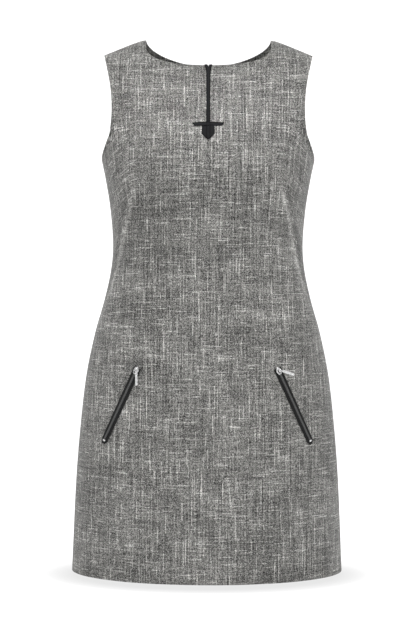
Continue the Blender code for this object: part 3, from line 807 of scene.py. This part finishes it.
def painted_rim_shade_mask(outline, x, drop):
    """0 on the strip's outline, growing to 1 at EDGE_SHADE inside it, and low beside the ridge:
    where painted shade goes.
    """
    line = np.linspace(0.0, 1.0, OUTLINE_STEPS)
    zero, one = np.zeros(OUTLINE_STEPS), np.ones(OUTLINE_STEPS)
    sides = [outline(a, b) for a, b in ((line, zero), (line, one), (zero, line), (one, line))]
    edge = np.concatenate([np.stack(side, axis=1) for side in sides])
    edge = edge[np.abs(edge[:, 0]) > RIDGE_WIDTH]  # the slit itself has no rim
    gaps = np.hypot(x[:, None] - edge[None, :, 0], drop[:, None] - edge[None, :, 1])
    beside = np.exp(-(((np.abs(x) - SHADE_BESIDE_RIDGE) / SHADE_BESIDE_WIDTH) ** 2))
    return np.minimum(gaps.min(axis=1) / EDGE_SHADE, 1.0) * (1.0 - beside)


def lay_trim(name, columns, rows, outline, finish):
    """A cut strip laid on the front; outline(across, down) gives (x, drop)."""

    def place(column, row):
        across, down = column / columns, row / rows
        point, normal = front_frame(*outline(across, down))
        lift = TRIM_LIFT + CROWN * (1.0 - (2.0 * across - 1.0) ** 4)
        lift += RIDGE_HEIGHT * np.exp(-((point[:, 0] / RIDGE_WIDTH) ** 2))
        return point + normal * lift[:, None]

    bm = bmesh.new()
    add_grid(bm, columns, rows, place)
    turn_faces(bm, Vector((0.0, -1.0, 0.0)))
    obj = piece(name, bm, [finish])
    x, _, z = np.array([vert.co for vert in obj.data.vertices]).T
    set_number(obj.data, "inside", painted_rim_shade_mask(outline, x, -z))
    give_wall(obj, TRIM_THICKNESS, 1.0, TRIM_EDGE, segments=3)
    return obj


# %% The bindings, the crossbar and the tab
def binding(mirror):
    def outline(across, down):
        below_edge = (CROSSBAR_DROP - SEAM_GAP - NECK_DROP[-1]) * down**BINDING_CROWD
        inner = BINDING_GAP + np.maximum(slit_half_gap(below_edge) - SLIT_HALF_GAP, 0.0)
        spread = np.clip(1.0 - below_edge / BINDING_FLARE_LENGTH, 0.0, 1.0)
        outer = BINDING_GAP + BINDING_WIDTH + BINDING_FLARE * spread**BINDING_FLARE_CURVE
        return mirror * (inner + (outer - inner) * across), NECK_DROP[-1] + below_edge

    return outline


def crossbar(across, down):
    x = CROSSBAR_HALF_LENGTH * (2.0 * across - 1.0)
    upper = CROSSBAR_ARCH * (x / CROSSBAR_HALF_LENGTH) ** 2
    cut = np.maximum(np.abs(x) - CROSSBAR_HALF_LENGTH + CROSSBAR_CUT, 0.0) / CROSSBAR_CUT
    lower = CROSSBAR_HEIGHT - (CROSSBAR_HEIGHT - CROSSBAR_ARCH - TAB_POINT) * cut
    return x, CROSSBAR_DROP + upper + (lower - upper) * down


def tab(across, down):
    taper = np.maximum(down - TAB_STRAIGHT, 0.0) / (1.0 - TAB_STRAIGHT)
    half = TAB_HALF_WIDTH - (TAB_HALF_WIDTH - TAB_POINT) * taper**TAB_CURVE
    top = CROSSBAR_DROP + CROSSBAR_HEIGHT + SEAM_GAP
    return half * (2.0 * across - 1.0), top + TAB_LENGTH * down


for name, columns, rows, outline in (
    ("slit_binding_left", 8, 90, binding(-1)), ("slit_binding_right", 8, 90, binding(+1)),
    ("slit_crossbar", 60, 8, crossbar), ("slit_tab", 20, 30, tab),
):
    strip = lay_trim(name + "_trim", columns, rows, outline, leather)
    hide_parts(name)
    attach(strip, "dress")
    print(name, "laid on the front")

# %% [markdown]
# ## Where the pocket zips lie
#
# Each pocket's zip slants down and outwards, on top of the cloth. All of its parts are placed in
# one moving frame that rides down the zip: down along it, across it, and out of the cloth.

# %% The frame that rides down a zip
ZIP_TOP = np.array((0.1113, 0.5414))
ZIP_BOTTOM = np.array((0.1673, 0.6640))
TAPE_WIDTH = 0.0130
TAPE_THICKNESS = 0.0008
TAPE_EDGE = 0.0002
TAPE_POINT = 0.006  # length of the narrowed lower end
TAPE_END = 0.45  # its width at the very end, as a share
LOOK_AHEAD = 0.01  # step, as a share of the zip, that gives its direction


def zip_length(mirror):
    x, drop = np.stack((ZIP_TOP, ZIP_BOTTOM), axis=1)
    ends, _ = front_frame(mirror * x, drop)
    return float(np.linalg.norm(ends[1] - ends[0]))


def zip_frame(mirror, along):
    """Points down a zip's middle, with the directions down, across and out there."""
    share = np.atleast_1d(along)[:, None] / zip_length(mirror)
    here = ZIP_TOP * (1.0 - share) + ZIP_BOTTOM * share
    ahead = here + (ZIP_BOTTOM - ZIP_TOP) * LOOK_AHEAD
    point, normal = front_frame(mirror * here[:, 0], here[:, 1])
    further, _ = front_frame(mirror * ahead[:, 0], ahead[:, 1])
    down = further - point
    down -= normal * (down * normal).sum(axis=1)[:, None]
    down /= np.linalg.norm(down, axis=1)[:, None]
    return point, down, np.cross(normal, down), normal


def on_tape(mirror, along):
    """One frame on the tape's face as a matrix: x down the zip, y across it, z out."""
    point, down, across, normal = (Vector(line[0]) for line in zip_frame(mirror, along))
    origin = point + normal * (TRIM_LIFT + TAPE_THICKNESS + SEAM_GAP)
    return Matrix.Translation(origin) @ Matrix((down, across, normal)).transposed().to_4x4()


print("zip length:", round(zip_length(-1) * 1000, 1), "mm")

# %% [markdown]
# ## Tape and coil
#
# The tape is a woven band with fine ribs across it. The closed coil on its middle is two rows
# of nylon loops that mesh like a comb. A loop is a small rounded bar, a little slanted, so one
# bevelled cube stands for each.

# %% Tape and coil finishes
RIB_PITCH, RIB_ZIGZAG = 0.0009, 0.0016


def make_tape():
    finish, tree, shader = new_finish("black_zip_tape")
    weave = source(tree, "ShaderNodeUVMap", uv_map="weave")
    along, across = split(weave)
    slant = sums("ADD", along, sums("PINGPONG", across, RIB_ZIGZAG))
    rib = sums("SINE", sums("MULTIPLY", slant, 2 * math.pi / RIB_PITCH))
    fuzz = sums("MULTIPLY", thread_noise(weave, 1500, 1500), 0.026)
    tone = sums("MAXIMUM", sums("MULTIPLY_ADD", rib, 0.003, fuzz), 0.004)
    fill(shader, {
        "Base Color": tinted(tone), "Normal": bump(rib, 0.6, 0.0002),
        "Roughness": 0.85, "Specular IOR Level": 0.15, "Sheen Weight": 0.03,
    })
    return finish


def make_nylon():
    finish, tree, shader = new_finish("grey_nylon_coil")
    haze = noise(source(tree, "ShaderNodeTexCoord", "Object"), 900.0)
    fill(shader, {
        "Base Color": tinted(ramp(haze, 0.3, 0.7, 0.085, 0.130)),
        "Roughness": ramp(haze, 0.3, 0.7, 0.35, 0.5), "Specular IOR Level": 0.3,
    })
    return finish


tape_finish, nylon = make_tape(), make_nylon()
print("tape nodes:", len(tape_finish.node_tree.nodes))

# %% Sew on the tape
def tape_width(to_end):
    return TAPE_WIDTH * np.minimum(TAPE_END + (1.0 - TAPE_END) * to_end / TAPE_POINT, 1.0)


def make_tape_piece(side, mirror):
    length, rows, columns = zip_length(mirror), 110, 10

    def place(column, row):
        along = length * row / rows
        point, _, across, normal = zip_frame(mirror, along)
        out = tape_width(length - along) * (column / columns - 0.5)
        return point + across * out[:, None] + normal * TRIM_LIFT

    bm = bmesh.new()
    add_grid(bm, columns, rows, place)
    turn_faces(bm, Vector((0.0, -1.0, 0.0)))
    obj = piece(f"zip_tape_{side}_woven", bm, [tape_finish])
    mesh = obj.data
    points = np.array([vert.co for vert in mesh.vertices])
    frame_top = np.array(on_tape(mirror, 0.0).inverted())
    local = points @ frame_top[:3, :3].T + frame_top[:3, 3]
    set_uv(mesh, "weave", local[:, 0], local[:, 1])
    give_wall(obj, TAPE_THICKNESS, 1.0, TAPE_EDGE)
    return obj


# %% Mesh the coil's loops
STOP_SIZE = (0.0026, 0.0046, 0.0015)
SLIDER_LENGTH = 0.0125
SLIDER_INSET = 0.0050
COIL_THICKNESS = 0.0012
LOOP_PITCH = 0.0014
LOOP_LENGTH, LOOP_WIDTH = 0.00062, 0.0025
LOOP_OFFSET = 0.0007  # from the middle of the zip
LOOP_SLANT_DEG = 14
LOOP_ROUND = 0.00022


def make_coil_piece(side, mirror):
    start = SLIDER_INSET + SLIDER_LENGTH / 2 + SEAM_GAP
    end = zip_length(mirror) - TAPE_POINT - STOP_SIZE[0] / 2 - SEAM_GAP
    count = int((end - start) / LOOP_PITCH)
    bm = bmesh.new()
    for i in range(2 * count):
        along = start + (i + 0.5) * (end - start) / (2 * count)
        hand = 1 if i % 2 else -1
        shape = (
            on_tape(mirror, along)
            @ Matrix.Translation((0.0, hand * LOOP_OFFSET, COIL_THICKNESS / 2))
            @ Matrix.Rotation(math.radians(hand * LOOP_SLANT_DEG), 4, "Z")
            @ Matrix.Diagonal((LOOP_LENGTH, LOOP_WIDTH, COIL_THICKNESS, 1.0))
        )
        bmesh.ops.create_cube(bm, size=1.0, matrix=shape)
    round_edges(bm, bm.edges[:], LOOP_ROUND, 1)
    obj = piece(f"zip_coil_{side}_loops", bm, [nylon])
    print("coil", side, "has", 2 * count, "loops,", len(obj.data.polygons), "faces")
    return obj


# %% [markdown]
# ## Slider, bail, pull and stop
#
# The slider is a small oval casting with a slot in its face, and the slot takes the black tape
# finish as painted shade. A wire bail stands on it, and the pull's eye hangs on that wire, so
# the pull can be lifted. The left pull hangs straight down; the right one was photographed lying
# out to the side. All are bright metal, finely rubbed, but for the slot's painted shade.

# %% Bright metal
def make_metal():
    finish, tree, shader = new_finish("bright_metal")
    rub = noise(source(tree, "ShaderNodeTexCoord", "Object"), 700.0, 4.0)
    fill(shader, {
        "Base Color": tinted(ramp(rub, 0.2, 0.8, 0.80, 0.90)),
        "Roughness": ramp(rub, 0.3, 0.7, 0.16, 0.34),
        "Normal": bump(rub, 0.06, 0.0001), "Metallic": 1.0,
    })
    return finish


metal = make_metal()
print("metal nodes:", len(metal.node_tree.nodes))

# %% Sizes of the slider, the bail and the pull
SLIDER_WIDTH = 0.0086
SLIDER_THICKNESS = 0.0018
SLIDER_ROUND = 0.0006
SLIDER_RIM, SLIDER_DISH = 0.0005, 0.00015  # a flat rim, and how deep its middle lies
SLOT_SIZE = (0.0060, 0.0017, 0.0009)
BAIL_RADIUS = 0.0022
BAIL_WIRE = 0.0005
BAIL_SINK = 0.0006
EYE_RADIUS = 0.00135
EYE_WIRE = 0.00038
PULL_LENGTH = 0.0262
PULL_WIDTH = 0.0040
PULL_THICKNESS = 0.0011
PULL_NECK = 0.0015
PULL_NARROW = 0.4  # width at the eye, as a share
PULL_BLUNT = 0.2  # width at the very tip
PULL_CROWD = 1.4  # crowds the rows towards the tip
PULL_LEAN_DEG = 6.0
PULL_ROUND, STOP_ROUND = 0.0002, 0.0005
Pull = namedtuple("Pull", "side mirror along across heading_deg slot_along slot_across")
PULLS = (
    Pull("left", -1, -0.0026, +0.0008, 2.0, +0.0022, -0.0004),
    Pull("right", +1, 0.0000, +0.0020, 77.0, +0.0008, -0.0015),
)


def hinge_frame(pull):
    """The eye's centre on the bail: x along the pull, y the hinge, z out."""
    base = on_tape(pull.mirror, SLIDER_INSET)
    origin = base @ Vector((pull.along, pull.across, SLIDER_THICKNESS + BAIL_RADIUS))
    normal = base.col[2].to_3d()
    turn = math.radians(pull.heading_deg)
    flat = Vector((math.sin(turn), 0.0, -math.cos(turn)))
    reach = (flat - normal * flat.dot(normal)).normalized()
    axes = Matrix((reach, normal.cross(reach), normal)).transposed()
    return Matrix.Translation(origin) @ axes.to_4x4()


for pull in PULLS:
    print("hinge", pull.side, [round(v, 5) for v in hinge_frame(pull).translation])

# %% Cast the slider and bend its bail
def add_oval(bm, length, width, low, high, sides):
    made = bmesh.ops.create_cone(
        bm, cap_ends=True, segments=sides, radius1=0.5, radius2=0.5, depth=1.0
    )["verts"]
    bmesh.ops.scale(bm, vec=(length, width, high - low), verts=made)
    bmesh.ops.translate(bm, vec=(0.0, 0.0, (low + high) / 2), verts=made)


def top_face(bm):
    return max(bm.faces, key=lambda face: face.calc_center_median().z)


def in_order(items):
    """Each item once, in an order that is the same in every run, as a set's is not."""
    return list(dict.fromkeys(items))


def add_leg(bm, edges):
    """A straight leg under one end of the bail, sunk into the slider."""
    leg = bmesh.ops.extrude_edge_only(bm, edges=edges)["geom"]
    foot = [item for item in leg if isinstance(item, bmesh.types.BMVert)]
    bmesh.ops.translate(bm, vec=(0.0, 0.0, -BAIL_SINK), verts=foot)


def make_slider_piece(pull):
    bm = bmesh.new()
    add_oval(bm, SLIDER_LENGTH, SLIDER_WIDTH, 0.0, SLIDER_THICKNESS, 48)
    round_edges(bm, top_face(bm).edges[:], SLIDER_ROUND, 4)
    bmesh.ops.inset_region(bm, faces=[top_face(bm)], thickness=SLIDER_RIM, depth=-SLIDER_DISH)
    body = piece("slider_body", bm, [metal, tape_finish], smooth=False)

    slot = bmesh.new()
    long, wide, deep = SLOT_SIZE
    add_oval(slot, long, wide, SLIDER_THICKNESS - deep, SLIDER_THICKNESS + deep, 24)
    bmesh.ops.translate(slot, vec=(pull.slot_along, pull.slot_across, 0.0), verts=slot.verts)
    # painted shade: the slot's faces take the black tape finish
    for face in slot.faces:
        face.material_index = 1
    cutter = piece("slot_cutter", slot, [metal, tape_finish], smooth=False)
    cut = body.modifiers.new("slot", "BOOLEAN")
    cut.operation = "DIFFERENCE"
    cut.solver = "EXACT"
    cut.object = cutter
    graph = bpy.context.evaluated_depsgraph_get()
    bm = bmesh.new()
    bm.from_mesh(bpy.data.meshes.new_from_object(body.evaluated_get(graph)))
    for made_object in (body, cutter):
        bpy.data.objects.remove(made_object)
    bmesh.ops.transform(bm, matrix=on_tape(pull.mirror, SLIDER_INSET), verts=bm.verts)

    wire = bmesh.ops.create_circle(
        bm, cap_ends=False, radius=BAIL_WIRE, segments=12,
        matrix=Matrix.Translation((0.0, -BAIL_RADIUS, -BAIL_RADIUS)),
    )["verts"]
    ring = in_order(edge for vert in wire for edge in vert.link_edges)
    before = set(bm.verts) - set(wire)
    add_leg(bm, ring)
    turned = bmesh.ops.spin(
        bm, geom=ring, cent=(0.0, 0.0, -BAIL_RADIUS), axis=(-1.0, 0.0, 0.0),
        angle=math.pi, steps=14, use_duplicate=False,
    )["geom_last"]
    add_leg(bm, [item for item in turned if isinstance(item, bmesh.types.BMEdge)])
    bail = [vert for vert in bm.verts if vert not in before]
    bmesh.ops.holes_fill(bm, edges=[edge for edge in bm.edges if edge.is_boundary], sides=12)
    bmesh.ops.transform(bm, matrix=hinge_frame(pull), verts=bail)
    bmesh.ops.recalc_face_normals(bm, faces=in_order(f for v in bail for f in v.link_faces))
    obj = piece(f"zip_slider_{pull.side}_cast", bm, [metal, tape_finish])
    obj.data.set_sharp_from_angle(angle=math.radians(35))
    print("slider", pull.side, len(obj.data.polygons), "faces")
    return obj


# %% Stamp the pull
def pull_half_width(reach):
    grow = np.minimum((reach - PULL_NECK) / PULL_WIDTH, 1.0)
    tip = np.maximum(reach - PULL_LENGTH + PULL_WIDTH / 2, 0.0) / (PULL_WIDTH / 2)
    full = PULL_NARROW + (1.0 - PULL_NARROW) * np.sin(grow * math.pi / 2)
    round_tip = np.maximum(np.sqrt(1.0 - np.minimum(tip, 1.0) ** 2), PULL_BLUNT)
    return PULL_WIDTH / 2 * full * round_tip


def make_pull_piece(pull):
    columns, rows = 6, 36

    def place(column, row):
        reach = PULL_NECK + (PULL_LENGTH - PULL_NECK) * (1.0 - (1.0 - row / rows) ** PULL_CROWD)
        y = pull_half_width(reach) * (2.0 * column / columns - 1.0)
        return np.stack((reach, y, np.zeros_like(y)), axis=1)

    bm = bmesh.new()
    add_grid(bm, columns, rows, place)
    turn_faces(bm, Vector((0.0, 0.0, 1.0)))
    bmesh.ops.solidify(bm, geom=bm.faces[:], thickness=PULL_THICKNESS)
    bmesh.ops.recalc_face_normals(bm, faces=bm.faces)
    middle = sum(vert.co.z for vert in bm.verts) / len(bm.verts)
    bmesh.ops.translate(bm, vec=(0.0, 0.0, -middle), verts=bm.verts)
    rims = [edge for edge in bm.edges if edge.calc_face_angle(0.0) > math.radians(50)]
    round_edges(bm, rims, PULL_ROUND, 2)
    ring = bmesh.ops.create_circle(
        bm, cap_ends=False, radius=EYE_WIRE, segments=10,
        matrix=Matrix.Translation((EYE_RADIUS, 0.0, 0.0)),
    )["verts"]
    bmesh.ops.spin(
        bm, geom=in_order(edge for vert in ring for edge in vert.link_edges),
        cent=(0.0, 0.0, 0.0), axis=(0.0, 1.0, 0.0), angle=2 * math.pi, steps=28, use_merge=True,
    )
    bmesh.ops.recalc_face_normals(bm, faces=bm.faces)
    lean = hinge_frame(pull) @ Matrix.Rotation(math.radians(PULL_LEAN_DEG), 4, "Y")
    bmesh.ops.transform(bm, matrix=lean, verts=bm.verts)
    obj = piece(f"zip_pull_{pull.side}_bar", bm, [metal])
    obj.data.set_sharp_from_angle(angle=math.radians(40))
    return obj


# %% Clamp on the bottom stop
def make_stop_piece(side, mirror):
    along, across, thick = STOP_SIZE
    bm = bmesh.new()
    bmesh.ops.create_cube(bm, size=1.0)
    bmesh.ops.scale(bm, vec=(along, across, thick), verts=bm.verts)
    bmesh.ops.translate(bm, vec=(0.0, 0.0, thick / 2), verts=bm.verts)
    round_edges(bm, bm.edges[:], STOP_ROUND, 4)
    end = on_tape(mirror, zip_length(mirror) - TAPE_POINT)
    bmesh.ops.transform(bm, matrix=end, verts=bm.verts)
    return piece(f"zip_stop_{side}_clamp", bm, [metal])


# %% Fit both zips
for pull in PULLS:
    side, mirror = pull.side, pull.mirror
    fitted = (
        (make_tape_piece(side, mirror), f"zip_tape_{side}", "dress", "zip_tape"),
        (make_coil_piece(side, mirror), f"zip_coil_{side}", "dress", "zip_coil"),
        (make_stop_piece(side, mirror), f"zip_stop_{side}", "dress", "bright_metal"),
        (make_slider_piece(pull), f"zip_slider_{side}", "dress", "bright_metal"),
        (make_pull_piece(pull), f"zip_pull_{side}", f"pull_{side}", "bright_metal"),
    )
    for obj, cad, body, slot in fitted:
        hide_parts(cad)
        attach(obj, body)
    print(side, "zip fitted")

# %% [markdown]
# ## The studio
#
# The photograph is white all round, with only a faint grey shadow under the hem. One curved
# sheet makes floor and wall, and its wall stands far off, so that the dress can be seen from
# behind as well. The sheet glows a little, which keeps the shadow pale, and in an oval around
# the hem its colour and its glow are turned down: a painted shadow. A large soft light
# overhead lights the chest more than the skirt, and the white world fills the shadows.

# %% Floor, wall and lights
FLOOR_DROP = 0.8875
FLOOR_FRONT, FLOOR_RUN = -4.5, 11.5  # its front edge, and from there to where the wall bends up
BEND_RUN = 1.57  # a quarter circle of radius 1
SHEET_WIDTH, SHEET_LENGTH = 12.0, 15.5
SHEET_COLUMNS, SHEET_ROWS = 8, 90


def make_studio():
    finish, tree, shader = new_finish("studio_white_painted_shadow")
    place = source(tree, "ShaderNodeTexCoord", "Object")
    dust = noise(place, 3.0)
    # painted shadow: the sheet's colour and glow fall off in an oval the size of the hem, around
    # the dress's foot
    hem = {0: place, 1: (1 / 0.224, 1 / 0.156, 0.0)}  # its half width and depth
    foot = node("ShaderNodeVectorMath", hem, operation="MULTIPLY")
    reach = node("ShaderNodeVectorMath", {0: foot}, "Value", operation="LENGTH")
    tone = ramp(dust, 0.3, 0.7, 0.34, 0.36)
    fill(shader, {
        "Base Color": tinted(sums("MULTIPLY", tone, ramp(reach, 0.9, 1.7))),
        "Emission Color": (1.0, 1.0, 1.0, 1.0),
        "Emission Strength": ramp(reach, 0.94, 1.50, 0.80, 1.0),
        "Roughness": 0.9, "Specular IOR Level": 0.1,
    })

    def place_sheet(column, row):
        x = SHEET_WIDTH * (column / SHEET_COLUMNS - 0.5)
        run = SHEET_LENGTH * row / SHEET_ROWS
        bend = np.clip(run - FLOOR_RUN, 0.0, BEND_RUN) / BEND_RUN * math.pi / 2
        y = FLOOR_FRONT + np.minimum(run, FLOOR_RUN) + np.sin(bend)
        z = 1.0 - np.cos(bend) + np.maximum(run - FLOOR_RUN - BEND_RUN, 0.0)
        return np.stack((x, y, z - FLOOR_DROP), axis=1)

    bm = bmesh.new()
    add_grid(bm, SHEET_COLUMNS, SHEET_ROWS, place_sheet)
    turn_faces(bm, Vector((0.0, -1.0, 1.0)))
    return piece("studio_sheet", bm, [finish])


def add_light(name, place, aim, size, power, spread_deg):
    data = bpy.data.lights.new(name, "AREA")
    data.shape = "RECTANGLE"
    data.size, data.size_y = size
    data.energy = power
    data.spread = math.radians(spread_deg)
    light = bpy.data.objects.new(name, data)
    look = (Vector(aim) - Vector(place)).to_track_quat("-Z", "Y")
    light.matrix_world = Matrix.Translation(place) @ look.to_matrix().to_4x4()
    bpy.context.scene.collection.objects.link(light)


make_studio()
# name, place, aim, size, watts, spread in degrees
for lamp in (
    ("overhead_front", (0.1, -1.2, 2.3), (0.0, 0.0, -0.4), (2.2, 1.4), 92.0, 180.0),
    ("waist_fill", (0.0, -2.4, -0.85), (0.0, -0.1, -0.3), (1.6, 0.6), 17.0, 180.0),
    ("chest_light", (0.0, -1.3, 0.30), (0.0, -0.1, -0.12), (0.34, 0.08), 0.042, 9.0),
    ("left_side", (-2.4, -0.8, 0.3), (0.0, 0.0, -0.5), (1.2, 2.0), 5.0, 180.0),
    ("right_side", (2.4, -0.8, 0.3), (0.0, 0.0, -0.5), (1.2, 2.0), 6.0, 180.0),
):
    add_light(*lamp)

world = bpy.data.worlds.new("white_studio")
world.use_nodes = True
sky = world.node_tree.nodes["Background"]
fill(sky, {"Color": (1.0, 1.0, 1.0, 1.0), "Strength": 0.30})
bpy.context.scene.world = world
bpy.context.scene.view_settings.view_transform = "Standard"
print("studio ready")
